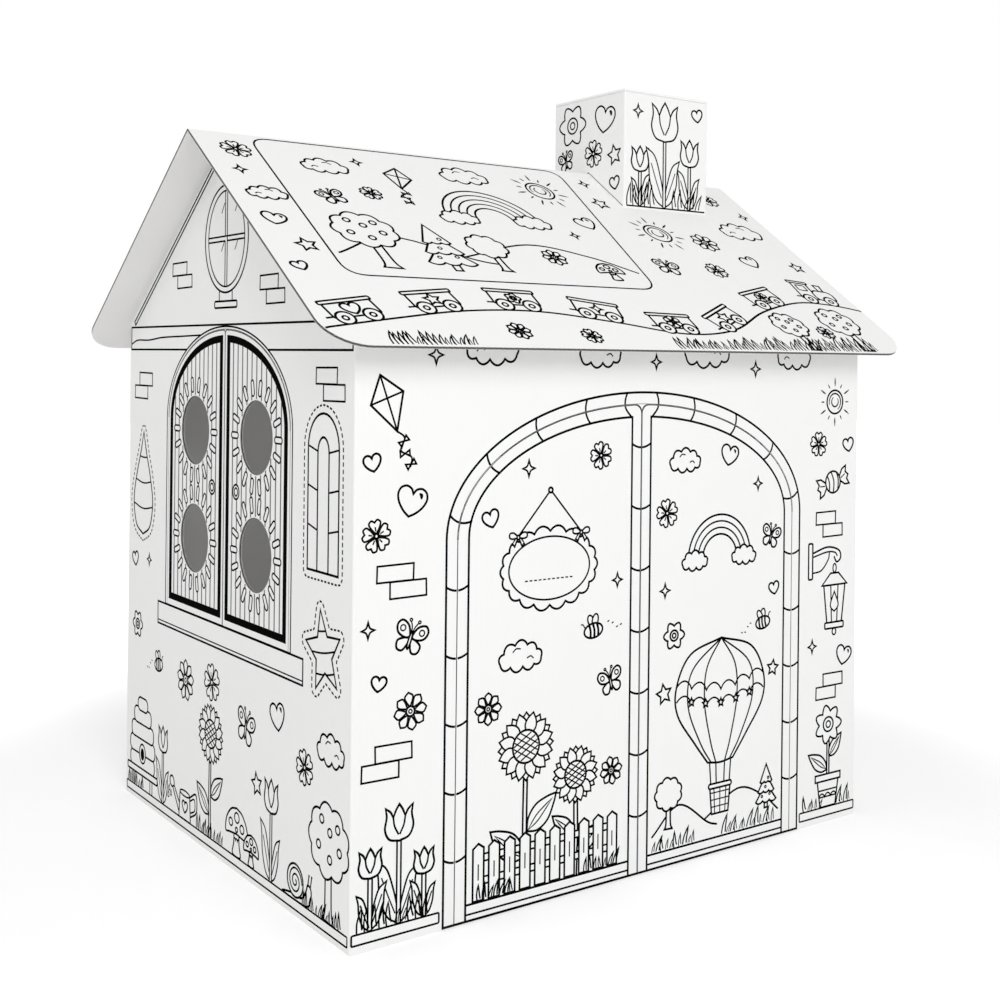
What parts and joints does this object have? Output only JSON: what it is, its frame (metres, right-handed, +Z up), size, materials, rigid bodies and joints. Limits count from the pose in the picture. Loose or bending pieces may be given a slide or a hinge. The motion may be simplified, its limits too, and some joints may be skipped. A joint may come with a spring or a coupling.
{
  "type": "cardboard playhouse",
  "caption": "Toy house of folded white corrugated board with a gabled roof, a chimney box, an arched double door and a shuttered window with round peepholes, for colouring in.",
  "frame": {"origin": "on the floor, in the middle of the house", "axes": "+X along the front to its right end, +Y from the door to the back, +Z up"},
  "size_m": [0.792, 0.6574, 0.894],
  "materials": {
    "wall_board": "matte white-lined corrugated board, fluted on its cut edges",
    "roof_board": "matte white-lined corrugated board, fluted on its cut edges",
    "chimney_board": "matte white-lined corrugated board, fluted on its cut edges",
    "ink": "flat black line print"
  },
  "bodies": {
    "root": {"walls": "wall_board", "roof": "roof_board", "chimney": "chimney_board"}
  },
  "joints": []
}
